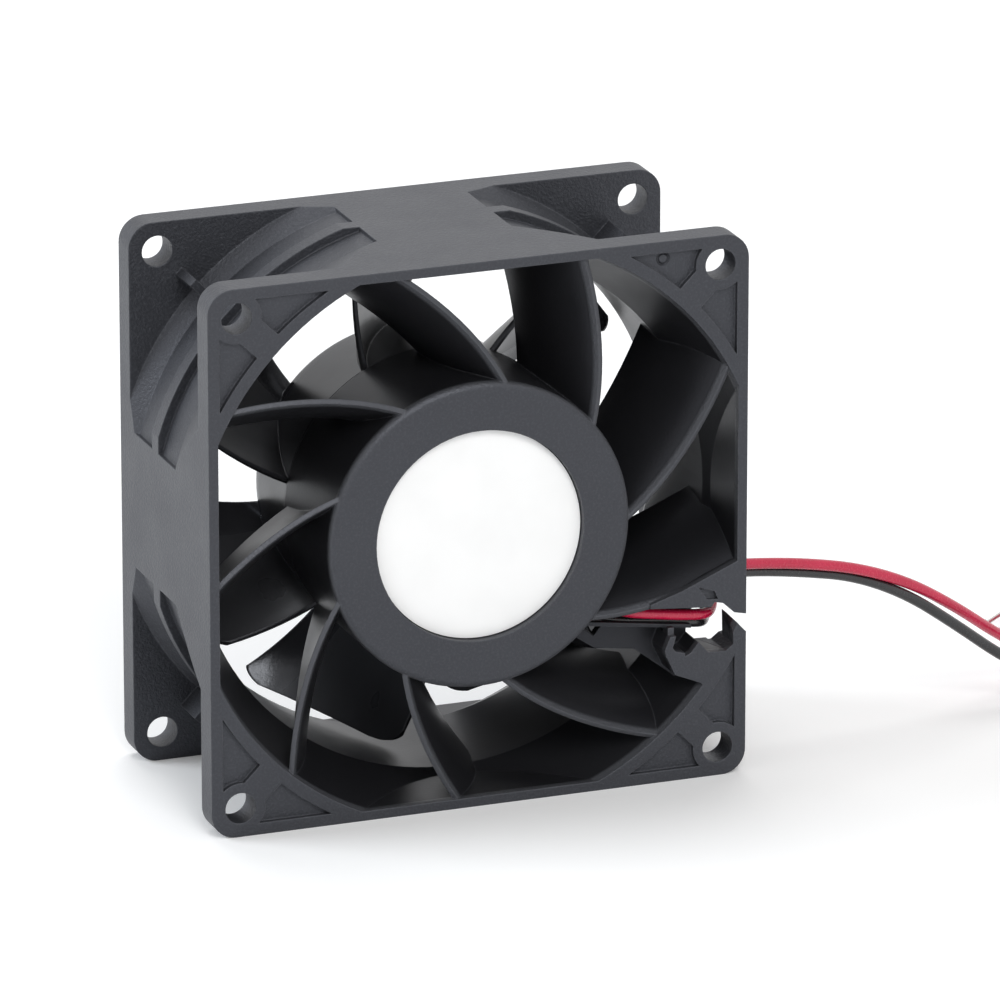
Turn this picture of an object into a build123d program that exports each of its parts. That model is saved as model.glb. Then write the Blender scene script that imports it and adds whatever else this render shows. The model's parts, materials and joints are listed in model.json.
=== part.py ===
from build123d import *
import math
import os

# Axial cooling fan, 80 mm square, standing on its lower edge with the outlet facing -Y.
# Every length is in millimetres. A "depth" is a distance behind the outlet face.

# Housing
side = 80.0
depth = 38.0
corner_r = 3.6
flange_t = 4.3
hole_pitch = 71.5
hole_d = 4.5
edge_break = 0.4
bore_r = 38.0
outlet_mouth_r = 42.5
outlet_mouth_len = 12.0
inlet_mouth_r = 41.2
inlet_mouth_len = 7.0
rim_wall = 1.4
flat_half = 10.0

# Steps of the duct's outer wall between the flanges
front_cone_r = 44.3
front_cone_end = 14.2
front_cone_end_r = 41.3
groove_r = 40.6
rib_back = 16.4
rib_w = 2.6
rib_r = 41.9
rear_groove_back = 6.8
rear_cone_r = 42.5
rib_start = depth - rib_back

# Corner pockets of the outlet flange
pocket_depth = 0.8
pocket_rim = 1.7
pocket_bore_rim = 1.8
pocket_band = 4.4
boss_r = 3.7
gusset_t = 1.2
gusset_reach = 3.5
gusset_len = 6.0

# Motor base, carried by the guide vanes
base_r = 22.4
base_len = 18.9
base_wall = 1.3
base_plate = 2.4
base_round = 1.0
label_d = 30.6
label_t = 0.2
label_sink = 1.4
label_fit = 0.15
tube_boss_r = 8.6
tube_boss_len = 8.0

# Guide vanes
vane_count = 9
vane_first = 120.0
vane_start = 0.5
vane_back = 1.4
vane_t = 1.3
vane_camber = 1.3
vane_bury = 0.8
vane_sweep = 28.6
vane_hub_turn = 17.0
vane_tip_turn = 11.0
lead_vane = 4

# Impeller
blade_count = 7
blade_first = -113.5
rotor_gap = 0.9
rear_recess = 2.8
blade_recess = 1.8
hub_r = 22.0
hub_rear_r = 21.2
hub_wall = 1.3
hub_round = 1.6
tip_gap = 0.7
blade_hub_t = 1.7
blade_tip_t = 1.0
blade_camber = 2.1
blade_sweep = -10.0
blade_hub_turn = 29.5
blade_tip_turn = 31.0
blade_corner = 2.4
impeller_front = base_len + rotor_gap
impeller_rear = depth - rear_recess
blade_inlet = depth - blade_recess

# Rotor inside the impeller
fit = 0.05
yoke_t = 1.0
yoke_inset = 0.4
magnet_t = 2.4
magnet_inset = 0.8
magnet_back = 0.75
air_gap = 0.5
shaft_d = 4.0
shaft_inset = 2.2
shaft_fit = 0.01
bush_r = 5.2
bush_len = 3.4
yoke_end = impeller_rear - hub_wall - fit
bush_front = yoke_end - bush_len
shaft_front = base_plate + shaft_inset
magnet_front = impeller_front + magnet_inset
magnet_end = yoke_end - yoke_t - magnet_back

# Bearings, 4 x 11 x 4
bearing_d = 11.0
bearing_w = 4.0
ring_t = 1.05
ball_count = 6
ball_d = 1.9
ball_gap = 0.12
cage_t = 0.7
cage_w = 2.6
front_bearing_seat = 4.2
spring_h = 1.15
running_gap = 0.06
clip_t = 0.5
clip_r = 3.6
clip_groove_r = 1.6
front_bearing_at = base_plate + front_bearing_seat
rear_bearing_at = bush_front - spring_h - bearing_w

# Bearing tube and stator
tube_wall = 1.2
tube_lip = 0.9
tube_end = rear_bearing_at + bearing_w + tube_lip
core_inset = 1.0
core_back = 1.9
core_front = magnet_front + core_inset
core_end = magnet_end - core_back
core_yoke_t = 1.9
pole_count = 4
pole_w = 4.6
shoe_t = 2.0
shoe_gap = 3.0
bobbin_t = 0.9
coil_t = 1.7
coil_gap = 0.15

# Circuit board
board_r = 20.2
board_t = 1.2
board_drop = 2.5
board_at = base_len - board_drop
board_bore_gap = 0.4
pin_d = 0.7
pin_r = 14.9
pin_turn = 29.0
pin_below = 1.6
chip_l = 5.0
chip_w = 4.0
chip_t = 1.5
chip_r = 13.4
hall_l = 4.0
hall_w = 1.6
hall_t = 2.2
hall_r = 17.4
cap_d = 6.3
cap_len = 7.7
cap_r = 14.2
diode_l = 4.4
diode_w = 2.6
diode_t = 2.1
solder_h = 0.9

# Lead channel, its cover and the notch in the outlet flange
notch_level = -17.0
tray_at = 5.0
tray_t = 1.4
guide_bar_at = 1.9
guide_bar_t = 1.05
cover_t = 1.6
cover_dip = 0.8
window_low = 7.8
window_high = 6.6
window_wide = 8.0
window_end = 13.0
slot_w = 5.2
slot_reach = 6.6
slot_front = 2.5
slot_rear = 6.8
slot_turn = 0.9

# Leads
lead_d = 1.6
conductor_d = 0.9
conductor_len = 5.0
coil_mean_d = 17.6
coil_lift = 0.3
turn_pitch = 1.7
coil_columns = 2
coil_layers = 2
tie_w = 3.0
tie_t = 0.2
tie_fit = 0.05
end_slope = 0.3

# The fan's own plane: x to the right, y up, z out of the outlet face towards the front
fan = Plane(origin=(0, -depth / 2, side / 2), x_dir=(1, 0, 0), z_dir=(0, -1, 0))


def polar(radius, degrees):
    a = math.radians(degrees)
    return (radius * math.cos(a), radius * math.sin(a))


def disc(radius, start, end):
    """Cylinder about the fan's axis from one depth to a larger one."""
    return Pos(0, 0, -end) * Cylinder(radius, end - start, align=(Align.CENTER, Align.CENTER, Align.MIN))


def ring(outer, inner, start, end):
    return disc(outer, start, end) - disc(inner, start - 1, end + 1)


def slab(shape, start, end):
    """A sketch in the fan's plane, filled from one depth to a larger one."""
    return extrude(Pos(0, 0, -end) * shape, end - start)


def turned(points):
    """Solid of revolution of (depth, radius) corners about the fan's axis."""
    outline = Polyline([(r, 0, -d) for d, r in points], close=True)
    return revolve(make_face(outline), Axis.Z)


def polygon(points):
    return make_face(Polyline([(x, y, 0) for x, y in points], close=True))


def block(length, width, start, end, radius, degrees):
    """Box with its sides along the radius and across it, at an angle about the axis."""
    box = slab(Rectangle(length, width), start, end)
    return Rot(0, 0, degrees) * (Pos(radius, 0, 0) * box)


def profile_section(radius, angle_a, depth_a, angle_b, depth_b, thick, camber):
    """Curved blade section in a plane across the radius, through two edges at one radius."""
    half = math.radians((angle_b - angle_a) / 2)
    middle = math.radians((angle_a + angle_b) / 2)
    u = radius * math.sin(half)
    across = (-math.sin(middle), math.cos(middle), 0)
    outwards = (math.cos(middle), math.sin(middle), 0)
    distance = radius * math.cos(half)
    origin = (distance * outwards[0], distance * outwards[1], 0)
    a = Vector(-u, -depth_a)
    b = Vector(u, -depth_b)
    chord = (b - a).normalized()
    normal = Vector(chord.Y, -chord.X)
    bow = (a + b) * 0.5 + normal * camber
    end_half = normal * (thick * 0.3)
    mid_half = normal * (thick * 0.5)
    upper = ThreePointArc(a + end_half, bow + mid_half, b + end_half)
    lower = ThreePointArc(b - end_half, bow - mid_half, a - end_half)
    cap_b = Line(b + end_half, b - end_half)
    cap_a = Line(a - end_half, a + end_half)
    face = make_face([upper, cap_b, lower, cap_a])
    return Plane(origin=origin, x_dir=across, z_dir=outwards) * face


def between(radius, r0, v0, r1, v1):
    return v0 + (v1 - v0) * (radius - r0) / (r1 - r0)


# Housing: two square flanges, the duct between them, the motor base and the guide vanes
def duct_outside():
    rib_end = rib_start + rib_w
    stepped = turned([
        (0, 0), (0, front_cone_r), (flange_t, front_cone_r),
        (front_cone_end, front_cone_end_r), (front_cone_end, groove_r),
        (rib_start, groove_r), (rib_start, rib_r), (rib_end, rib_r), (rib_end, groove_r),
        (depth - rear_groove_back, groove_r), (depth - flange_t, rear_cone_r),
        (depth, rear_cone_r), (depth, 0),
    ])
    square = slab(Rectangle(side, side), 0, depth)
    flats = slab(Rectangle(2 * flat_half, side) + Rectangle(side, 2 * flat_half), 0, depth)
    return (stepped & square) + flats


def flange(start):
    return slab(RectangleRounded(side, side, corner_r), start, start + flange_t)


def air_passage():
    spill = 1.0
    slope_out = (outlet_mouth_r - bore_r) / outlet_mouth_len
    slope_in = (inlet_mouth_r - bore_r) / inlet_mouth_len
    funnel = turned([
        (-spill, 0), (-spill, outlet_mouth_r + spill * slope_out), (outlet_mouth_len, bore_r),
        (depth - inlet_mouth_len, bore_r), (depth + spill, inlet_mouth_r + spill * slope_in),
        (depth + spill, 0),
    ])
    opening = side - 2 * rim_wall
    return funnel & slab(Rectangle(opening, opening), -spill, depth + spill)


def corner_pockets():
    opening = side - 2 * pocket_rim
    shape = Rectangle(opening, opening) - Circle(outlet_mouth_r + pocket_bore_rim)
    for turn in (45, 135):
        shape -= Rot(0, 0, turn) * Rectangle(2 * side, pocket_band)
    for x in (-hole_pitch / 2, hole_pitch / 2):
        for y in (-hole_pitch / 2, hole_pitch / 2):
            shape -= Pos(x, y) * Circle(boss_r)
    return slab(shape, -1, pocket_depth)


def mounting_holes():
    holes = [
        Pos(x, y) * Circle(hole_d / 2)
        for x in (-hole_pitch / 2, hole_pitch / 2)
        for y in (-hole_pitch / 2, hole_pitch / 2)
    ]
    return slab(Sketch() + holes, -1, depth + 1)


def corner_gussets():
    reach = rear_cone_r + gusset_reach
    webs = [
        block(reach - bore_r, gusset_t, depth - flange_t - gusset_len, depth - flange_t,
              (reach + bore_r) / 2, turn)
        for turn in (45, 135, 225, 315)
    ]
    return Part() + webs


def guide_vane(start_angle):
    """One curved vane: its front edge sweeps round as it goes out, its rear edge leads it."""
    span = outlet_mouth_r - base_r
    radii = [base_r + span * i / 4 for i in range(5)]
    radii[0] -= vane_bury
    radii[-1] += 2 * vane_bury
    sections = []
    for radius in radii:
        sweep = vane_sweep * math.log(radius / base_r) / math.log(outlet_mouth_r / base_r)
        turn = between(radius, base_r, vane_hub_turn, outlet_mouth_r, vane_tip_turn)
        angle = start_angle + sweep
        sections.append(profile_section(radius, angle, vane_start, angle + turn,
                                        base_len - vane_back, vane_t, -vane_camber))
    return loft(sections)


def guide_vanes(envelope):
    vanes = [guide_vane(vane_first - i * 360 / vane_count) for i in range(vane_count)]
    space = envelope - disc(base_r - base_wall / 2, -1, depth + 1)
    return [vane & space for vane in vanes]


def motor_base():
    cup = disc(base_r, 0, base_len)
    cup = fillet(cup.edges().group_by(Axis.Z)[-1], base_round)
    cup -= disc(base_r - base_wall, base_plate, base_len + 1)
    cup -= disc(label_d / 2 + label_fit, -1, label_sink)
    cup += ring(tube_boss_r, bearing_tube_r(), base_plate - 0.2, base_plate + tube_boss_len)
    return cup


def lead_slot():
    """Way out for the leads: through the motor base's wall and under the lead vane's root."""
    lead_exit = vane_first - lead_vane * 360 / vane_count
    return block(slot_reach, slot_w, slot_front, slot_rear, base_r - 2 * base_wall + slot_reach / 2,
                 lead_exit + slot_turn)


def by_notch(points):
    """Outline from distances inwards of the side face and above the notch's level."""
    return polygon([(side / 2 - inwards, notch_level + up) for inwards, up in points])


def lead_tray():
    """Floor of the lead channel, from the motor base to the duct."""
    floor = by_notch([(24.4, -1.2), (21.0, -3.5), (15.1, -4.3), (8.8, -9.2), (4.7, -10.8),
                      (2.0, 4.0), (24.0, 3.4)])
    return slab(floor, tray_at, tray_at + tray_t)


def guide_bar():
    """Thin bar in front of the leads, from the motor base to the catch, that holds them in."""
    bar = by_notch([(23.6, 1.7), (14.9, 0.4), (11.1, -0.15), (7.6, -0.6), (7.6, -1.1), (11.1, -0.65),
                    (14.9, -0.1), (23.6, 1.1)])
    foot = by_notch([(11.5, -0.4), (10.6, -0.4), (10.6, -1.6), (11.5, -1.6)])
    end = guide_bar_at + guide_bar_t
    return slab(bar, guide_bar_at, end) + slab(foot, guide_bar_at / 2, end)


def lead_cover():
    """Plate flush with the outlet face, from the lead's vane to the notch."""
    plate = by_notch([(14.5, 3.1), (5.3, 2.3), (4.8, 3.0), (3.5, 2.7), (1.8, 1.1), (0, 0.7),
                      (0, 9.3), (9.7, 5.2), (14.5, 3.7)])
    dip = by_notch([(7.3, 5.5), (4.8, 4.6), (4.3, 3.4), (5.9, 3.5)])
    return slab(plate, 0, cover_t) - slab(dip, -1, cover_dip)


def lower_plate():
    """Plate below the notch, flush with the outlet face, and the hooked catch beside it."""
    plate = by_notch([(12.1, -4.2), (9.4, -4.6), (8.4, -4.2), (7.2, -2.7), (5.7, -4.4), (3.1, -4.5),
                      (1.9, -3.6), (1.0, -3.4), (2.0, -5.2), (3.6, -7.8), (5.5, -10.0), (6.9, -8.8),
                      (10.7, -7.2)])
    catch = by_notch([(11.5, -1.4), (10.6, -1.4), (11.1, -3.1), (10.7, -3.7), (9.2, -4.1),
                      (9.4, -4.9), (12.1, -4.4), (12.3, -3.4)])
    return slab(plate + catch, 0, tray_at + tray_t / 2)


def notch():
    """Open mouth in the outlet flange that the leads are pressed into."""
    throat = by_notch([(5.3, 2.3), (4.8, 3.0), (3.5, 2.7), (1.8, 1.1), (-1.0, 0.5), (-1.0, -3.0),
                       (0.8, -1.1), (2.0, 0.3), (1.9, -3.6), (3.1, -4.5), (5.7, -4.4), (7.2, -2.7),
                       (7.0, 2.2)])
    return slab(throat, -1, tray_at + tray_t + 1)


def lead_window():
    """Window in the duct's wall behind the notch, where the leads turn outwards."""
    opening = by_notch([(window_wide, window_high / 2), (window_wide / 2, window_high),
                        (-1.0, window_high), (-1.0, -window_low), (window_wide, -window_low)])
    return slab(opening, flange_t, window_end)


def bearing_tube_r():
    return bearing_d / 2 + tube_wall


def housing():
    envelope = duct_outside()
    body = envelope + flange(0) + flange(depth - flange_t) + corner_gussets()
    body -= air_passage()
    body -= corner_pockets()
    body -= mounting_holes()
    vanes = guide_vanes(envelope)
    body += vanes
    body += motor_base()
    body -= lead_window()
    body += lead_tray() & (envelope - disc(base_r - base_wall / 2, -1, depth))
    body += lead_cover()
    body += lower_plate()
    body -= notch()
    body -= lead_slot()
    body += guide_bar()
    return body


# Impeller and rotor
def blade(middle_angle):
    tip = bore_r - tip_gap
    span = tip - hub_r
    radii = [hub_cavity_r() - hub_wall / 4, hub_r + span * 0.3, hub_r + span * 0.65, tip + tip_gap]
    sections = []
    for radius in radii:
        middle = middle_angle - blade_sweep * (tip - radius) / span
        turn = between(radius, hub_r, blade_hub_turn, tip, blade_tip_turn)
        thick = between(radius, hub_r, blade_hub_t, tip, blade_tip_t)
        sections.append(profile_section(radius, middle - turn / 2, blade_inlet,
                                        middle + turn / 2, impeller_front, thick, blade_camber))
    return loft(sections)


def impeller():
    cone = turned([
        (impeller_front, 0), (impeller_front, hub_r), (impeller_rear, hub_rear_r), (impeller_rear, 0),
    ])
    cone = fillet(cone.edges().group_by(Axis.Z)[0].sort_by(SortBy.LENGTH)[-1], hub_round)
    cone -= disc(hub_cavity_r(), impeller_front - 1, impeller_rear - hub_wall)
    swept = disc(bore_r - tip_gap, impeller_front, blade_inlet)
    swept = fillet(swept.edges().filter_by(GeomType.CIRCLE), blade_corner)
    swept -= disc(hub_cavity_r() + hub_wall / 3, 0, depth)
    blades = [blade(blade_first + i * 360 / blade_count) & swept for i in range(blade_count)]
    return cone + blades


def hub_cavity_r():
    return hub_rear_r - hub_wall


def yoke_r():
    return hub_cavity_r() - fit


def rotor_yoke():
    cup = disc(yoke_r(), impeller_front + yoke_inset, yoke_end)
    cup = chamfer(cup.edges().group_by(Axis.Z)[0], yoke_t * 0.6)
    cup -= disc(yoke_r() - yoke_t, impeller_front - 1, yoke_end - yoke_t)
    return cup - disc(bush_r + fit, 0, depth)


def magnet_outer_r():
    return yoke_r() - yoke_t - fit


def rotor_magnet():
    return ring(magnet_outer_r(), magnet_outer_r() - magnet_t, magnet_front, magnet_end)


def hub_bush():
    return ring(bush_r, shaft_d / 2 + shaft_fit, bush_front, yoke_end)


def shaft():
    body = disc(shaft_d / 2, shaft_front, yoke_end)
    body = chamfer(body.edges().group_by(Axis.Z)[-1], edge_break)
    return body - ring(shaft_d, clip_groove_r, clip_at(), clip_at() + clip_t + 2 * running_gap)


def clip_at():
    return front_bearing_at - clip_t - 3 * running_gap


# Bearings: two rings and a caged set of balls
def raceway(at):
    pitch = (bearing_d + shaft_d) / 4
    path = Pos(pitch, 0, 0) * Circle(ball_d / 2 + ball_gap)
    groove = revolve(Plane.XZ * path, Axis.Z)
    return Pos(0, 0, -(at + bearing_w / 2)) * groove


def bearing_outer(at):
    body = ring(bearing_d / 2, bearing_d / 2 - ring_t, at, at + bearing_w)
    return body - raceway(at)


def bearing_inner(at):
    bore = shaft_d / 2 + shaft_fit
    body = ring(bore + ring_t - 0.2, bore, at, at + bearing_w)
    return body - raceway(at)


def ball_set(at):
    pitch = (bearing_d + shaft_d) / 4
    middle = at + bearing_w / 2
    cage = ring(pitch + cage_t / 2, pitch - cage_t / 2, middle - cage_w / 2, middle + cage_w / 2)
    balls = [
        Pos(*polar(pitch, i * 360 / ball_count), -middle) * Sphere(ball_d / 2)
        for i in range(ball_count)
    ]
    return cage + balls


def shields(at):
    outer = bearing_d / 2 - ring_t
    inner = shaft_d / 2 + ring_t + 0.1
    plate_t = 0.25
    front = ring(outer, inner, at + 0.05, at + 0.05 + plate_t)
    rear = ring(outer, inner, at + bearing_w - 0.05 - plate_t, at + bearing_w - 0.05)
    return [front, rear]


def retaining_clip():
    body = ring(clip_r, clip_groove_r, clip_at() + running_gap, clip_at() + running_gap + clip_t)
    return body - block(2 * clip_r, 2 * clip_groove_r - 0.4, 0, depth, clip_r, -90)


def preload_spring():
    """Dished spring washer between the rear bearing's inner ring and the hub bush."""
    start = rear_bearing_at + bearing_w
    inner = shaft_d / 2 + 0.15
    outer = inner + ring_t
    washer_t = 0.3
    return turned([
        (start, inner), (start, inner + 0.5), (bush_front - washer_t, outer), (bush_front, outer),
        (bush_front, outer - 0.5), (start + washer_t, inner),
    ])


# Bearing tube, stator and windings
def bearing_tube():
    outer = bearing_tube_r()
    body = disc(outer, base_plate, tube_end)
    bore = bearing_d / 2 + 0.01
    body -= disc(bore, 0, front_bearing_at + bearing_w)
    body -= disc(bore, rear_bearing_at, depth)
    return body - disc(bearing_d / 2 - ring_t * 0.8, 0, depth)


def stator_tip_r():
    return magnet_outer_r() - magnet_t - air_gap


def lamination_shape(spare):
    tip = stator_tip_r() - spare
    inner = bearing_tube_r() + core_yoke_t
    shape = Circle(inner - spare)
    head = Circle(tip) - Circle(tip - shoe_t + 2 * spare)
    for i in range(pole_count):
        turn = 45 + i * 360 / pole_count
        neck = Rectangle(tip - shoe_t / 2, pole_w - 2 * spare, align=(Align.MIN, Align.CENTER))
        shape += Rot(0, 0, turn) * neck
        head -= Rot(0, 0, turn + 180 / pole_count) * Rectangle(
            2 * tip, shoe_gap + 2 * spare, align=(Align.MIN, Align.CENTER))
    return shape + head - Circle(bearing_tube_r() + 0.02)


def stator_core():
    return slab(lamination_shape(0), core_front, core_end)


def bobbin(start):
    return slab(lamination_shape(0.2), start, start + bobbin_t)


def coil(turn):
    hole = pole_w + 2 * coil_gap
    wide = hole + 2 * coil_t
    inner = bearing_tube_r() + core_yoke_t + 0.3
    outer = math.sqrt((stator_tip_r() - shoe_t) ** 2 - (wide / 2) ** 2) - 0.2
    front = core_front - bobbin_t - coil_gap
    rear = core_end + bobbin_t + coil_gap
    length = outer - inner
    middle = (outer + inner) / 2
    body = block(length, wide, front - coil_t * 0.6, rear + coil_t * 0.6, middle, 0)
    body = fillet(body.edges().filter_by(Axis.X), coil_t * 0.55)
    body -= block(length + 2, hole, front, rear, middle, 0)
    return Rot(0, 0, turn) * body


def coils():
    return [coil(45 + i * 360 / pole_count) for i in range(pole_count)]


# Circuit board and what is on it
def circuit_board():
    body = ring(board_r, bearing_tube_r() + board_bore_gap, board_at, board_at + board_t)
    for i in range(pole_count):
        x, y = polar(pin_r, pin_turn + i * 360 / pole_count)
        body -= slab(Pos(x, y) * Circle(pin_d / 2 + fit), 0, depth)
    return body


def board_supports():
    """Four moulded posts between the motor base's plate and the board."""
    posts = []
    for turn in (20, 110, 200, 290):
        posts.append(block(2.0, 2.4, base_plate - 0.2, board_at, base_r - base_wall - 0.9, turn))
    return posts


def terminal_pins():
    start = board_at - pin_below
    end = core_front - bobbin_t
    pins = []
    for i in range(pole_count):
        x, y = polar(pin_r, pin_turn + i * 360 / pole_count)
        pins.append(slab(Pos(x, y) * Circle(pin_d / 2), start, end))
    return pins


def driver_chip():
    return block(chip_w, chip_l, board_at - chip_t, board_at, chip_r, 150)


def hall_sensor():
    rear_face = board_at + board_t
    return block(hall_w, hall_l, rear_face, rear_face + hall_t, hall_r, 67.5)


def capacitor():
    x, y = polar(cap_r, 60)
    body = slab(Pos(x, y) * Circle(cap_d / 2), board_at - cap_len, board_at)
    return chamfer(body.edges().group_by(Axis.Z)[-1], 0.4)


def diode():
    return block(diode_w, diode_l, board_at - diode_t, board_at, chip_r, 240)


def solder_pads():
    """Two mounds of solder on the board, one at the start of each lead."""
    mound = Cone(1.3, 0.8, solder_h, align=(Align.CENTER, Align.CENTER, Align.MIN))
    return [Pos(route[0][0], route[0][2], -board_at) * mound for route in (red_route, black_route)]


def motor_label():
    return disc(label_d / 2, label_sink - label_t, label_sink)


# Leads: straight runs joined by tangent arcs, then a small tied coil on the floor
def place(x, at, y):
    """World point from a position in the fan's plane and a depth."""
    return Vector(x, at - depth / 2, y + side / 2)


def lead_tube(points, name):
    radii = []
    for before, corner, after in zip(points, points[1:], points[2:]):
        first = corner - before
        second = after - corner
        half = math.radians(first.get_angle(second)) / 2
        radii.append(0.45 * min(first.length, second.length) / math.tan(half))
    path = FilletPolyline(*points, radius=radii)
    section = Plane(origin=points[0], z_dir=points[1] - points[0]) * Circle(lead_d / 2)
    body = sweep(section, path=path)
    print(name, "radii", [round(r, 1) for r in radii], "length", round(path.length, 1),
          "volume ratio", round(body.volume / (math.pi * lead_d ** 2 / 4 * path.length), 4))
    return body


floor_y = lead_d / 2 + coil_lift - side / 2
red_route = [
    (14.6, board_at - solder_h, -9.6), (15.4, 4.2, -12.2), (22.6, 3.2, -15.0), (27.0, 2.7, -15.6),
    (31.0, 2.6, -16.2), (34.7, 2.9, -16.7), (36.7, 5.1, -17.0), (38.0, 7.9, -15.7),
    (40.9, 9.8, -12.3), (45.8, 10.4, -12.8), (53.4, 10.9, -13.9), (62.0, 11.7, -15.9),
    (70.6, 13.2, -19.6), (78.8, 15.4, -25.0), (86.4, 18.6, -30.9), (93.8, 22.0, -35.9),
    (101.6, 25.2, floor_y + 0.7), (109.6, 28.0, floor_y),
]
black_route = [
    (12.8, board_at - solder_h, -11.9), (13.9, 4.9, -13.9), (21.4, 4.1, -16.5), (26.6, 4.0, -16.9),
    (31.0, 3.95, -17.5), (34.6, 4.1, -18.2), (36.2, 6.4, -18.7), (37.5, 9.2, -17.3),
    (40.6, 11.1, -13.9), (45.8, 11.6, -14.3), (53.4, 12.0, -15.5), (61.9, 12.8, -17.4),
    (70.2, 13.2, -21.3), (77.9, 13.1, -26.9), (85.2, 12.9, -32.6), (92.8, 12.6, -37.0),
    (100.9, 12.3, floor_y + 0.6), (109.0, 12.0, floor_y),
]


def lead_coil(route):
    """Closed ring of the outer shape of the turns, beside the end of the lead's tube."""
    end, before = place(*route[-1]), place(*route[-2])
    run = Vector(end.X - before.X, end.Y - before.Y, 0).normalized()
    left = Vector(-run.Y, run.X, 0) * (-1 if route is black_route else 1)
    mean_r = coil_mean_d / 2
    half = (coil_columns * turn_pitch) / 2
    outermost = mean_r + turn_pitch / 2
    middle = end + left * outermost
    high = coil_layers * turn_pitch
    outer = Cylinder(mean_r + half, high, align=(Align.CENTER, Align.CENTER, Align.MIN))
    inner = Cylinder(mean_r - half, high, align=(Align.CENTER, Align.CENTER, Align.MIN))
    gap_at = math.degrees(math.atan2(-left.Y, -left.X))
    body = Pos(middle.X, middle.Y, coil_lift) * (outer - inner)
    return body, middle, gap_at, run, left


def conductor_end(route):
    """Stripped and tinned end that leaves the coil's upper turns and slopes down beside it."""
    body, middle, gap_at, run, left = lead_coil(route)
    rim = coil_mean_d / 2 + coil_columns * turn_pitch / 2
    line = rim - turn_pitch / 2
    reach = math.sqrt(rim ** 2 - (line + conductor_d / 2) ** 2)
    start = middle + left * line - run * reach
    start = Vector(start.X, start.Y, coil_lift + lead_d / 2 + (coil_layers - 1) * turn_pitch)
    heading = Vector(-run.X, -run.Y, -end_slope)
    return extrude(Plane(origin=start, z_dir=heading) * Circle(conductor_d / 2), conductor_len)


def coil_tie(route):
    """Band of tape round the coil's turns."""
    body, middle, gap_at, run, left = lead_coil(route)
    wide = coil_columns * turn_pitch + 2 * tie_fit
    high = coil_layers * turn_pitch + 2 * tie_fit
    mean_r = coil_mean_d / 2
    outside = RectangleRounded(wide + 2 * tie_t, high + 2 * tie_t, tie_t * 1.5)
    section = Pos(mean_r, coil_lift - tie_fit + high / 2) * (outside - Rectangle(wide, high))
    turn = math.degrees(tie_w / mean_r)
    band = revolve(Plane.XZ * section, Axis.Z, turn)
    return Pos(middle.X, middle.Y, 0) * (Rot(0, 0, gap_at + 90) * band)


def in_fan_plane(shape):
    return fan.location * shape


def save(name, shape):
    solids = shape if isinstance(shape, list) else [shape]
    flat = [s for item in solids for s in item.solids()]
    export_step(Compound(children=flat) if len(flat) > 1 else flat[0], "parts/" + name + ".step")


def main():
    os.makedirs("parts", exist_ok=True)
    fan_parts = {
        "housing": housing() + board_supports(),
        "motor_label": motor_label(),
        "bearing_tube": bearing_tube(),
        "stator_core": stator_core(),
        "front_bobbin": bobbin(core_front - bobbin_t),
        "rear_bobbin": bobbin(core_end),
        "stator_coils": coils(),
        "circuit_board": circuit_board(),
        "terminal_pins": terminal_pins(),
        "driver_chip": driver_chip(),
        "hall_sensor": hall_sensor(),
        "capacitor": capacitor(),
        "diode": diode(),
        "solder_joints": solder_pads(),
        "front_bearing_outer_ring": bearing_outer(front_bearing_at),
        "front_bearing_inner_ring": bearing_inner(front_bearing_at),
        "front_bearing_balls": ball_set(front_bearing_at),
        "front_bearing_shields": shields(front_bearing_at),
        "rear_bearing_outer_ring": bearing_outer(rear_bearing_at),
        "rear_bearing_inner_ring": bearing_inner(rear_bearing_at),
        "rear_bearing_balls": ball_set(rear_bearing_at),
        "rear_bearing_shields": shields(rear_bearing_at),
        "preload_spring": preload_spring(),
        "retaining_clip": retaining_clip(),
        "shaft": shaft(),
        "hub_bush": hub_bush(),
        "rotor_yoke": rotor_yoke(),
        "rotor_magnet": rotor_magnet(),
        "impeller": impeller(),
    }
    for name, shape in fan_parts.items():
        pieces = shape if isinstance(shape, list) else [shape]
        save(name, [in_fan_plane(piece) for piece in pieces])
    for colour, route in (("red", red_route), ("black", black_route)):
        points = [place(*p) for p in route]
        save(colour + "_lead", lead_tube(points, colour))
        save(colour + "_lead_coil", lead_coil(route)[0])
        save(colour + "_lead_end", conductor_end(route))
        save(colour + "_lead_tie", coil_tie(route))


main()
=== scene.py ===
import json
import math

import bpy
from mathutils import Matrix, Vector


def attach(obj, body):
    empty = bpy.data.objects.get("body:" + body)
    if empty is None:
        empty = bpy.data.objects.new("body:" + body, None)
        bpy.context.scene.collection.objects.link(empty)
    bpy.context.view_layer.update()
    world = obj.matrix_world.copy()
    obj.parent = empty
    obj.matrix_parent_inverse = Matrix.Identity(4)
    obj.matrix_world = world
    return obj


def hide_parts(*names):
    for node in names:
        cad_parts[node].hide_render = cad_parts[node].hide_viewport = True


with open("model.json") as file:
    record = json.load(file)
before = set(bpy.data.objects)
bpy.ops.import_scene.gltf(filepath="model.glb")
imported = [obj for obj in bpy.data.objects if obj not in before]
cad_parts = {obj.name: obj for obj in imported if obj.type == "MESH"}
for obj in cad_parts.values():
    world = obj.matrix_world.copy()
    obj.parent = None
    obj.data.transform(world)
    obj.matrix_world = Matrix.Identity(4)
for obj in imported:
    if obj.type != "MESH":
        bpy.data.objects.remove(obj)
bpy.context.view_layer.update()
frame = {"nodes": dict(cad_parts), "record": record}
nodes = frame["nodes"]

MM = 0.001


def reach(item, axis):
    """Lowest and highest place of a node's mesh along an axis, in millimetres."""
    places = [vertex.co[axis] / MM for vertex in item.data.vertices]
    return min(places), max(places)


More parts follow.
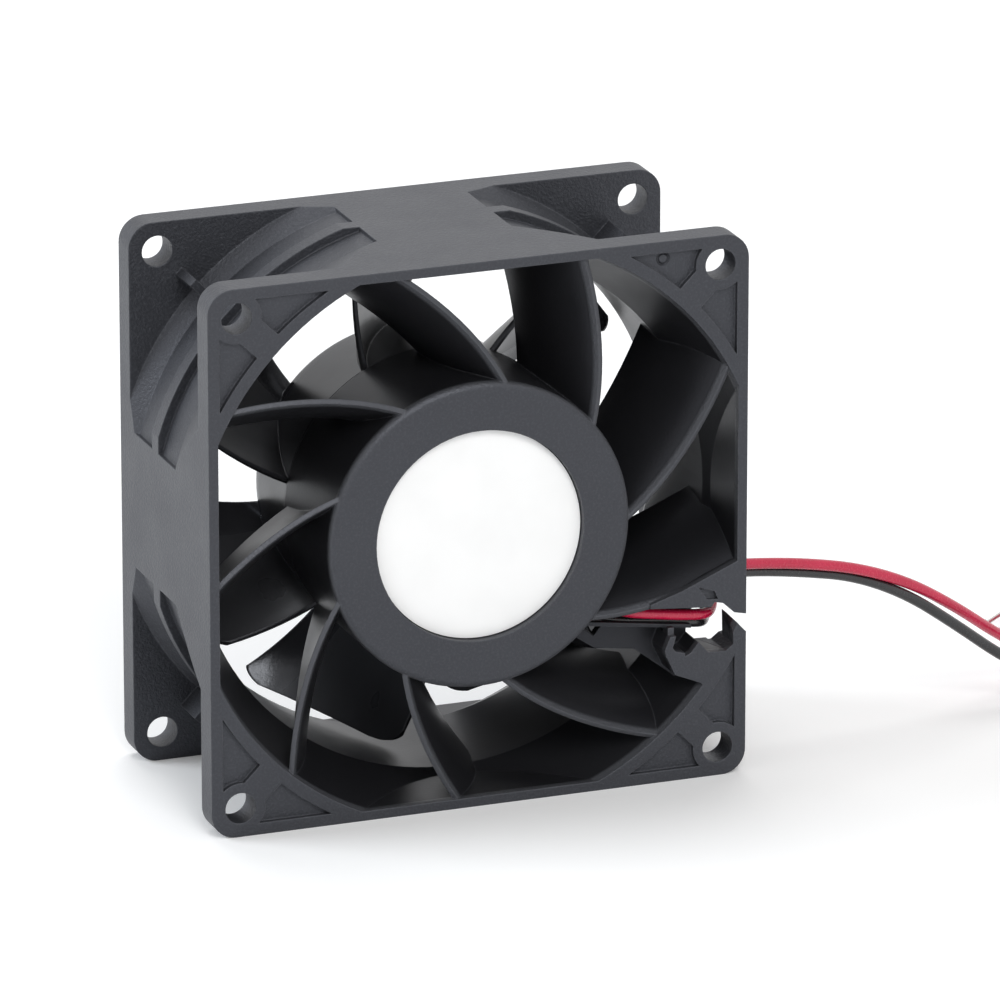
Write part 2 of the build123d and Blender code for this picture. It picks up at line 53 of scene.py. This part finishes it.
# Places of the housing, in millimetres
OUTLET_Y, INLET_Y = reach(nodes["housing"], 1)
FOOT_Z, TOP_Z = reach(nodes["housing"], 2)
AXIS_Z = (FOOT_Z + TOP_Z) / 2
HALF_WIDTH = reach(nodes["housing"], 0)[1]


# Camera: at the photograph's angle and distance, with a long lens
def aim_camera(place, azimuth, elevation, lens):
    az, el = math.radians(azimuth), math.radians(elevation)
    back = Vector((math.sin(az) * math.cos(el), -math.cos(az) * math.cos(el), math.sin(el)))
    right = Vector((math.cos(az), math.sin(az), 0))
    up = back.cross(right)
    data = bpy.data.cameras.new("camera")
    data.lens = lens
    data.sensor_width = 36
    data.clip_start = 0.05
    data.clip_end = 50
    camera = bpy.data.objects.new("camera", data)
    bpy.context.scene.collection.objects.link(camera)
    turn = Matrix((right, up, back)).transposed().to_4x4()
    camera.matrix_world = Matrix.Translation(place) @ turn
    bpy.context.scene.camera = camera


aim_camera(place=(-0.48302, -1.30611, 0.50532), azimuth=-20.681, elevation=18.5, lens=374.8)


# Leads: the route of each in millimetres, then its turns on the floor
LEAD_D = 1.6
LIFT = 0.3
LAY = LIFT + LEAD_D / 2
TURNS = 3.5
TURN_PITCH = 1.7
MEAN_R = 8.8
POINTS_PER_TURN = 14
CROSSING = 0.25
WAY_OUT = 3.3
END_DROP = 0.05
RED_ROUTE = [
    (14.6, -3.5, 30.4), (15.4, -14.8, 27.8), (22.6, -15.8, 25.0), (27.0, -16.3, 24.4),
    (31.0, -16.4, 23.8), (34.7, -16.1, 23.3), (36.7, -13.9, 23.0), (38.0, -11.1, 24.3),
    (40.9, -9.2, 27.7), (45.8, -8.6, 27.2), (53.4, -8.1, 26.1), (62.0, -7.3, 24.1),
    (70.6, -5.8, 20.4), (78.8, -3.6, 15.0), (86.4, -0.4, 9.1), (93.8, 3.0, 4.1),
    (101.6, 6.2, LAY + 0.7), (109.6, 9.0, LAY),
]
BLACK_ROUTE = [
    (12.8, -3.5, 28.1), (13.9, -14.1, 26.1), (21.4, -14.9, 23.5), (26.6, -15.0, 23.1),
    (31.0, -15.05, 22.5), (34.6, -14.9, 21.8), (36.2, -12.6, 21.3), (37.5, -9.8, 22.7),
    (40.6, -7.9, 26.1), (45.8, -7.4, 25.7), (53.4, -7.0, 24.5), (61.9, -6.2, 22.6),
    (70.2, -5.8, 18.7), (77.9, -5.9, 13.1), (85.2, -6.1, 7.4), (92.8, -6.4, 3.0),
    (100.9, -6.7, LAY + 0.6), (109.0, -7.0, LAY),
]


def coil_points(route, side):
    """Turns in two layers beside the end of the route, and the way out on the far side."""
    end, before = Vector(route[-1]), Vector(route[-2])
    run = Vector((end.x - before.x, end.y - before.y, 0)).normalized()
    left = Vector((-run.y, run.x, 0)) * side
    outer = MEAN_R + TURN_PITCH / 2
    inner = MEAN_R - TURN_PITCH / 2
    low, high = LAY, LAY + TURN_PITCH
    seats = [(outer, low), (inner, low), (inner, high), (outer, high)]
    last = len(seats) - 1
    middle = Vector((end.x, end.y, 0)) + left * outer
    points = []
    for i in range(1, int(TURNS * POINTS_PER_TURN) + 1):
        turns = i / POINTS_PER_TURN
        seat = min(int(turns), last)
        here, after = seats[seat], seats[min(seat + 1, last)]
        blend = max(0.0, (turns - seat - (1 - CROSSING)) / CROSSING)
        radius = here[0] + (after[0] - here[0]) * blend
        height = here[1] + (after[1] - here[1]) * blend
        angle = turns * 2 * math.pi
        spoke = left * -math.cos(angle) + run * math.sin(angle)
        points.append(middle + spoke * radius + Vector((0, 0, height)))
    points.append(points[-1] - run * WAY_OUT - Vector((0, 0, END_DROP)))
    return points


def lead_curve(name, route, side):
    data = bpy.data.curves.new(name, "CURVE")
    data.dimensions = "3D"
    data.bevel_depth = LEAD_D / 2 * MM
    data.bevel_resolution = 6
    data.use_fill_caps = True
    points = [Vector(p) for p in route] + coil_points(route, side)
    spline = data.splines.new("NURBS")
    spline.points.add(len(points) - 1)
    for item, p in zip(spline.points, points):
        item.co = (p.x * MM, p.y * MM, p.z * MM, 1)
    spline.order_u = 3
    spline.use_endpoint_u = True
    spline.resolution_u = 8
    lead = bpy.data.objects.new(name, data)
    bpy.context.scene.collection.objects.link(lead)
    return lead


# Ends of a noise's range that count as its lowest and its highest
CRISP = (0.3, 0.7)
SOFT = (0.15, 0.85)


# Materials
class Nodes:
    """A node material under construction."""

    def __init__(self, name):
        self.name = name
        self.material = bpy.data.materials.new(name)
        self.material.use_nodes = True
        self.tree = self.material.node_tree
        self.shader = self.tree.nodes["Principled BSDF"]
        coords = self.tree.nodes.new("ShaderNodeTexCoord")
        self.coords = coords.outputs["Object"]

    def add(self, kind, inputs=(), **settings):
        node = self.tree.nodes.new(kind)
        for key, value in settings.items():
            setattr(node, key, value)
        for key, value in dict(inputs).items():
            self.feed(node.inputs[key], value)
        return node

    def feed(self, socket, value):
        """Link an output to a socket, or set the socket to a plain value."""
        if isinstance(value, bpy.types.NodeSocket):
            self.tree.links.new(value, socket)
        else:
            socket.default_value = value

    def set(self, name, value):
        self.feed(self.shader.inputs[name], value)

    def calc(self, operation, *values):
        return self.add("ShaderNodeMath", enumerate(values), operation=operation).outputs[0]

    def times(self, first, second):
        return self.calc("MULTIPLY", first, second)

    def plus(self, first, second):
        return self.calc("ADD", first, second)

    def minus(self, first, second):
        return self.calc("SUBTRACT", first, second)

    def vector(self, operation, *values, output="Vector"):
        node = self.add("ShaderNodeVectorMath", enumerate(values), operation=operation)
        return node.outputs[output]

    def split(self, vector):
        return self.add("ShaderNodeSeparateXYZ", {0: vector}).outputs

    def noise(self, size_mm, detail=2.0, rough=0.5, stretch=(1, 1, 1)):
        mapping = self.add("ShaderNodeMapping", {"Vector": self.coords, "Scale": stretch})
        node = self.add("ShaderNodeTexNoise", {
            "Vector": mapping.outputs[0], "Scale": 1000.0 / size_mm,
            "Detail": detail, "Roughness": rough})
        return node.outputs["Fac"]

    def span(self, value, low, high, to_low=0.0, to_high=1.0):
        node = self.add("ShaderNodeMapRange", {
            "Value": value, "From Min": low, "From Max": high,
            "To Min": to_low, "To Max": to_high})
        return node.outputs[0]

    def choose(self, mask, off, on):
        """The value off where the mask is 0, and on where it is 1."""
        return self.span(mask, 0.0, 1.0, off, on)

    def patches(self, size_mm, detail=2.0, ends=CRISP, low=0.0, high=1.0):
        """Cloudy patches of low and high."""
        return self.span(self.noise(size_mm, detail), *ends, low, high)

    def mix(self, factor, first, second):
        inputs = {0: factor, 6: first, 7: second}
        return self.add("ShaderNodeMix", inputs, data_type="RGBA").outputs[2]

    def soft_edges(self, radius_mm, samples=4):
        return self.add("ShaderNodeBevel", {"Radius": radius_mm * MM}, samples=samples).outputs[0]

    def bump(self, height, depth_mm, strength=1.0, edge_mm=None, samples=4):
        """Normal with the height's relief, on softened edges where edge_mm is given."""
        inputs = {"Height": height, "Distance": depth_mm * MM, "Strength": strength}
        if edge_mm is not None:
            inputs["Normal"] = self.soft_edges(edge_mm, samples)
        self.set("Normal", self.add("ShaderNodeBump", inputs).outputs[0])

    def sharp_edges(self, radius_mm):
        """0 on flats, rising towards 1 on sharp edges."""
        flat = self.add("ShaderNodeNewGeometry").outputs["Normal"]
        alike = self.vector("DOT_PRODUCT", self.soft_edges(radius_mm), flat, output="Value")
        return self.span(alike, 1.0, 0.8)

    def wear_and_edge_highlight(self, edge_mm, low, high):
        """Lighter share of the edges, broken up into patches: partly wear, partly painted
        highlight.
        """
        patches = self.patches(size_mm=2.2, detail=3.0, ends=(0.35, 0.65), low=low, high=high)
        return self.times(self.sharp_edges(edge_mm), patches)

    def flow_marks(self, low, high):
        """Slow change over a moulding, between low and high."""
        return self.patches(size_mm=9.0, detail=3.0, ends=SOFT, low=low, high=high)


def rgb(r, g, b):
    return (r, g, b, 1.0)


def plastic(name, dark, light, worn, rough, grain_mm, grain_depth_mm, edge_mm):
    """Moulded plastic of the small parts."""
    m = Nodes(name)
    body = m.mix(m.patches(size_mm=22.0), dark, light)
    specks = m.patches(size_mm=grain_mm * 1.6, detail=1.0, ends=(0.6, 0.72), high=0.5)
    body = m.mix(specks, body, light)
    m.set("Base Color", m.mix(m.wear_and_edge_highlight(edge_mm, 0.2, 0.75), body, worn))
    m.set("Roughness", m.flow_marks(rough - 0.05, rough + 0.06))
    m.bump(m.noise(grain_mm, rough=0.6), grain_depth_mm, edge_mm=edge_mm)
    m.set("Specular Tint", rgb(0.94, 0.965, 1.0))
    return m


# Limits of the duct's inside, glossier and less grained, darkened with painted shade, and of the
# vanes' front edges, lightened with a painted highlight, in millimetres
FUNNEL_R = 43.3
BORE_R = 39.3
FUNNEL_DEPTH = 10.7
INLET_FLARE = 2.4
INLET_DEPTH = 6.0
FLANGE_EDGE = 0.8
EDGE_FROM = 0.1
EDGE_TO = 0.9
FADE = 0.2


def in_duct(m):
    """Two masks: the air's way behind the vanes' front edges, and those edges. The housing paints
    shade on the first and a highlight on the second.
    """
    from_axis = m.vector("SUBTRACT", m.coords, (0, 0, AXIS_Z * MM))
    across = m.vector("MULTIPLY", from_axis, (1, 0, 1))
    radius = m.vector("LENGTH", across, output="Value")
    y = m.split(m.coords)["Y"]
    funnel_end = OUTLET_Y + FUNNEL_DEPTH
    funnel = m.span(y, OUTLET_Y * MM, funnel_end * MM, FUNNEL_R * MM, BORE_R * MM)
    flare = m.span(y, (INLET_Y - INLET_DEPTH) * MM, INLET_Y * MM, 0.0, INLET_FLARE * MM)
    room = m.minus(m.plus(funnel, flare), radius)
    sides = m.split(m.vector("ABSOLUTE", across))
    widest = m.calc("MAXIMUM", sides["X"], sides["Z"])
    square = HALF_WIDTH - FLANGE_EDGE
    clear = m.span(widest, square * MM, (square + FADE) * MM, 1.0, 0.0)
    within = m.times(m.span(room, 0.0, FADE / 2 * MM), clear)
    front = OUTLET_Y + EDGE_FROM
    back = OUTLET_Y + EDGE_TO
    behind = m.span(y, back * MM, (back + 2 * FADE) * MM)
    edges = m.minus(m.span(y, front * MM, (front + FADE) * MM), behind)
    return m.times(within, behind), m.times(within, edges)


# Ring that a pin of the mould left on the outlet flange, in millimetres, and its depth in grains
PIN_PLACE = (27.4, OUTLET_Y + 0.8, 77.3)
PIN_R = 0.8
PIN_LINE = 0.25
PIN_DEPTH = 3.0


def pin_mark(m):
    """Depth of the ring, in depths of the grain."""
    centre = tuple(v * MM for v in PIN_PLACE)
    away = m.vector("DISTANCE", m.coords, centre, output="Value")
    offset = m.calc("ABSOLUTE", m.minus(away, PIN_R * MM))
    return m.span(offset, 0.0, PIN_LINE * MM, PIN_DEPTH, 0.0)


def housing_plastic():
    """Grained on the outside; glossier and less grained in the air's way, darkened there with
    painted shade. Painted highlight on the vanes' front edges; sharp edges lighter in patches,
    partly wear and partly painted highlight.
    """
    edge_mm = 0.3
    m = Nodes("housing_plastic")
    inside, vane_edge_highlight = in_duct(m)
    grain = m.noise(size_mm=0.38, rough=0.6)
    outside = m.mix(m.patches(size_mm=22.0, ends=SOFT),
                    rgb(0.0205, 0.0213, 0.0245), rgb(0.027, 0.028, 0.032))
    outside = m.mix(m.span(grain, 0.48, 0.72, 0.0, 0.9), outside, rgb(0.04, 0.0415, 0.0465))
    # Painted shade: the inside of the duct is coloured darker than the outside.
    painted_duct_shade = m.mix(m.patches(size_mm=12.0, detail=3.0, ends=SOFT),
                   rgb(0.009, 0.009, 0.0105), rgb(0.013, 0.013, 0.0145))
    body = m.mix(inside, outside, painted_duct_shade)
    # Painted highlight: the vanes' front edges are coloured lighter.
    body = m.mix(m.times(vane_edge_highlight, 0.8), body, rgb(0.052, 0.0535, 0.059))
    # Sharp edges lighter in patches: partly wear, partly painted highlight.
    m.set("Base Color", m.mix(m.wear_and_edge_highlight(edge_mm, 0.3, 0.85), body, rgb(0.095, 0.098, 0.107)))
    m.set("Roughness", m.plus(m.choose(inside, 0.46, 0.36), m.flow_marks(-0.05, 0.06)))
    m.set("Specular IOR Level", m.choose(inside, 0.62, 0.4))
    relief = m.minus(m.times(grain, m.choose(inside, 1.0, 0.15)), pin_mark(m))
    m.bump(relief, depth_mm=0.1, edge_mm=edge_mm)
    m.set("Specular Tint", rgb(0.86, 0.89, 1.0))
    return m


def impeller_plastic():
    """Smooth and dark, with faint flow marks and a polished rim at the hub's rear."""
    rim_from, rim_full = 13.6, 14.4
    edge_mm = 0.3
    m = Nodes("impeller_plastic")
    body = m.mix(m.patches(size_mm=14.0, detail=3.0, ends=SOFT),
                 rgb(0.016, 0.016, 0.018), rgb(0.021, 0.021, 0.0235))
    m.set("Base Color", m.mix(m.wear_and_edge_highlight(edge_mm, 0.2, 0.75), body, rgb(0.07, 0.07, 0.077)))
    rim = m.span(m.split(m.coords)["Y"], rim_from * MM, rim_full * MM)
    m.set("Roughness", m.times(m.flow_marks(0.25, 0.36), m.choose(rim, 1.0, 0.45)))
    m.bump(m.noise(size_mm=0.6, rough=0.6), depth_mm=0.008, edge_mm=edge_mm)
    m.set("Specular Tint", rgb(0.9, 0.93, 1.0))
    return m


def metal(name, low, high, rough, stretch=(1, 1, 1), line_mm=0.3):
    m = Nodes(name)
    lines = m.noise(line_mm, stretch=stretch)
    m.set("Base Color", m.mix(m.patches(size_mm=3.0, detail=3.0), low, high))
    m.set("Roughness", m.span(lines, *CRISP, rough - 0.06, rough + 0.1))
    m.bump(lines, depth_mm=0.01, strength=0.6, edge_mm=0.08, samples=2)
    m.set("Metallic", 1.0)
    return m


def turned_metal(name, low, high, rough, fineness):
    """Metal with fine lines round the fan's axis."""
    return metal(name, low, high, rough, stretch=(1, fineness, 1), line_mm=0.12)


def insulation(name, base, deep):
    m = Nodes(name)
    fine = m.noise(size_mm=0.35)
    m.set("Base Color", m.mix(m.patches(size_mm=6.0, detail=3.0), base, deep))
    m.set("Roughness", m.span(fine, *CRISP, 0.2, 0.3))
    m.bump(fine, depth_mm=0.008, strength=0.8)
    m.set("Coat Weight", 0.4)
    m.set("Coat Roughness", 0.15)
    m.set("Subsurface Weight", 0.05)
    m.set("Subsurface Scale", 0.0004)
    return m


def label_paper():
    m = Nodes("label_paper")
    fibre = m.noise(size_mm=0.5, detail=4.0, rough=0.6, stretch=(1, 1, 3))
    clouds = m.patches(size_mm=8.0)
    m.set("Base Color", m.mix(clouds, rgb(0.93, 0.93, 0.925), rgb(0.97, 0.97, 0.965)))
    m.set("Roughness", m.span(fibre, *CRISP, 0.5, 0.62))
    m.bump(fibre, depth_mm=0.006, strength=0.6)
    return m


looks = [
    housing_plastic(),
    impeller_plastic(),
    label_paper(),
    turned_metal("brass", rgb(0.72, 0.5, 0.22), rgb(0.82, 0.62, 0.32), 0.28, 6),
    turned_metal("core_steel", rgb(0.3, 0.3, 0.32), rgb(0.42, 0.42, 0.43), 0.42, 14),
    turned_metal("bearing_steel", rgb(0.52, 0.52, 0.53), rgb(0.64, 0.64, 0.65), 0.16, 8),
    turned_metal("yoke_steel", rgb(0.42, 0.42, 0.44), rgb(0.55, 0.55, 0.57), 0.32, 5),
    metal("winding_wire", rgb(0.55, 0.2, 0.07), rgb(0.72, 0.3, 0.1), 0.25),
    metal("shield_steel", rgb(0.45, 0.45, 0.46), rgb(0.56, 0.56, 0.57), 0.28),
    metal("spring_steel", rgb(0.25, 0.25, 0.27), rgb(0.36, 0.36, 0.38), 0.3),
    metal("tinned_metal", rgb(0.62, 0.62, 0.6), rgb(0.75, 0.75, 0.73), 0.3, line_mm=0.5),
    plastic("bobbin_plastic", rgb(0.7, 0.67, 0.58), rgb(0.78, 0.75, 0.67),
            rgb(0.85, 0.83, 0.78), rough=0.5, grain_mm=0.5, grain_depth_mm=0.01, edge_mm=0.15),
    plastic("board_laminate", rgb(0.02, 0.12, 0.05), rgb(0.03, 0.17, 0.07),
            rgb(0.2, 0.3, 0.15), rough=0.35, grain_mm=0.8, grain_depth_mm=0.008, edge_mm=0.1),
    plastic("component_black", rgb(0.02, 0.02, 0.02), rgb(0.03, 0.03, 0.03),
            rgb(0.07, 0.07, 0.07), rough=0.5, grain_mm=0.3, grain_depth_mm=0.01, edge_mm=0.1),
    plastic("capacitor_sleeve", rgb(0.02, 0.02, 0.05), rgb(0.03, 0.03, 0.07),
            rgb(0.1, 0.1, 0.15), rough=0.3, grain_mm=0.8, grain_depth_mm=0.006, edge_mm=0.15),
    plastic("magnet_rubber", rgb(0.035, 0.03, 0.028), rgb(0.05, 0.045, 0.04),
            rgb(0.1, 0.09, 0.08), rough=0.65, grain_mm=0.4, grain_depth_mm=0.02, edge_mm=0.15),
    plastic("tie_plastic", rgb(0.74, 0.74, 0.7), rgb(0.82, 0.82, 0.8),
            rgb(0.9, 0.9, 0.88), rough=0.45, grain_mm=0.6, grain_depth_mm=0.01, edge_mm=0.1),
    insulation("red_insulation", rgb(0.62, 0.012, 0.065), rgb(0.52, 0.008, 0.05)),
    insulation("black_insulation", rgb(0.014, 0.014, 0.016), rgb(0.022, 0.022, 0.024)),
]
finishes = {m.name: m.material for m in looks}


def dress(item, slot):
    item.data.materials.clear()
    item.data.materials.append(finishes[slot])


slot_of = {part["node"]: part["material_slot"] for part in frame["record"]["subparts"]}
for name, item in nodes.items():
    dress(item, slot_of[name])

for colour, route, side in (("red", RED_ROUTE, 1), ("black", BLACK_ROUTE, -1)):
    lead = lead_curve(colour + "_wire", route, side)
    dress(lead, colour + "_insulation")
    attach(lead, "frame")
    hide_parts(colour + "_lead", colour + "_lead_coil")


# Studio: pale floor, white surroundings, soft light from the left, above and in front
FLOOR_SIZE = 8
FLOOR_GLOW = 0.09
AMBIENT = 0.41
WHITE = (1.0, 1.0, 1.0)


def lay_floor():
    bpy.ops.mesh.primitive_plane_add(size=FLOOR_SIZE, location=(0, 0, 0))
    floor = bpy.context.object
    floor.name = "floor"
    m = Nodes("floor")
    clouds = m.patches(size_mm=400.0)
    m.set("Base Color", m.mix(clouds, rgb(0.95, 0.95, 0.95), rgb(0.97, 0.97, 0.97)))
    m.set("Roughness", 0.9)
    m.set("Specular IOR Level", 0.0)
    m.set("Emission Color", rgb(1, 1, 1))
    seen = m.add("ShaderNodeLightPath").outputs["Is Camera Ray"]
    m.set("Emission Strength", m.choose(seen, 0.0, FLOOR_GLOW))
    floor.data.materials.append(m.material)


def surround():
    """World that lights with AMBIENT and is seen, also in reflections, as white."""
    world = bpy.data.worlds.new("studio")
    bpy.context.scene.world = world
    world.use_nodes = True
    tree = world.node_tree
    ambient = tree.nodes["Background"]
    white = tree.nodes.new("ShaderNodeBackground")
    for node, strength in ((ambient, AMBIENT), (white, 1.0)):
        node.inputs["Color"].default_value = (*WHITE, 1)
        node.inputs["Strength"].default_value = strength
    path = tree.nodes.new("ShaderNodeLightPath")
    seen = tree.nodes.new("ShaderNodeMath")
    seen.operation = "MAXIMUM"
    mix = tree.nodes.new("ShaderNodeMixShader")
    for output, socket in (
        (path.outputs["Is Camera Ray"], seen.inputs[0]),
        (path.outputs["Is Glossy Ray"], seen.inputs[1]),
        (seen.outputs[0], mix.inputs[0]),
        (ambient.outputs[0], mix.inputs[1]),
        (white.outputs[0], mix.inputs[2]),
        (mix.outputs[0], tree.nodes["World Output"].inputs["Surface"]),
    ):
        tree.links.new(output, socket)


def hang_light(name, place, size, watts, colour=WHITE):
    data = bpy.data.lights.new(name, "AREA")
    data.shape = "DISK"
    data.size = size
    data.energy = watts
    data.color = colour
    light = bpy.data.objects.new(name, data)
    bpy.context.scene.collection.objects.link(light)
    light.location = place
    towards = Vector((0, 0, AXIS_Z * MM)) - Vector(place)
    light.rotation_euler = towards.to_track_quat("-Z", "Y").to_euler()


lay_floor()
surround()
hang_light("key_light", place=(-0.9, 0.35, 0.6), size=0.6, watts=7.0, colour=(0.9, 0.95, 1.0))
hang_light("top_light", place=(0.1, 0.45, 1.1), size=0.8, watts=4.4)
hang_light("front_light", place=(-0.1, -1.2, 1.0), size=0.8, watts=10.6)
bpy.context.scene.view_settings.view_transform = "Standard"
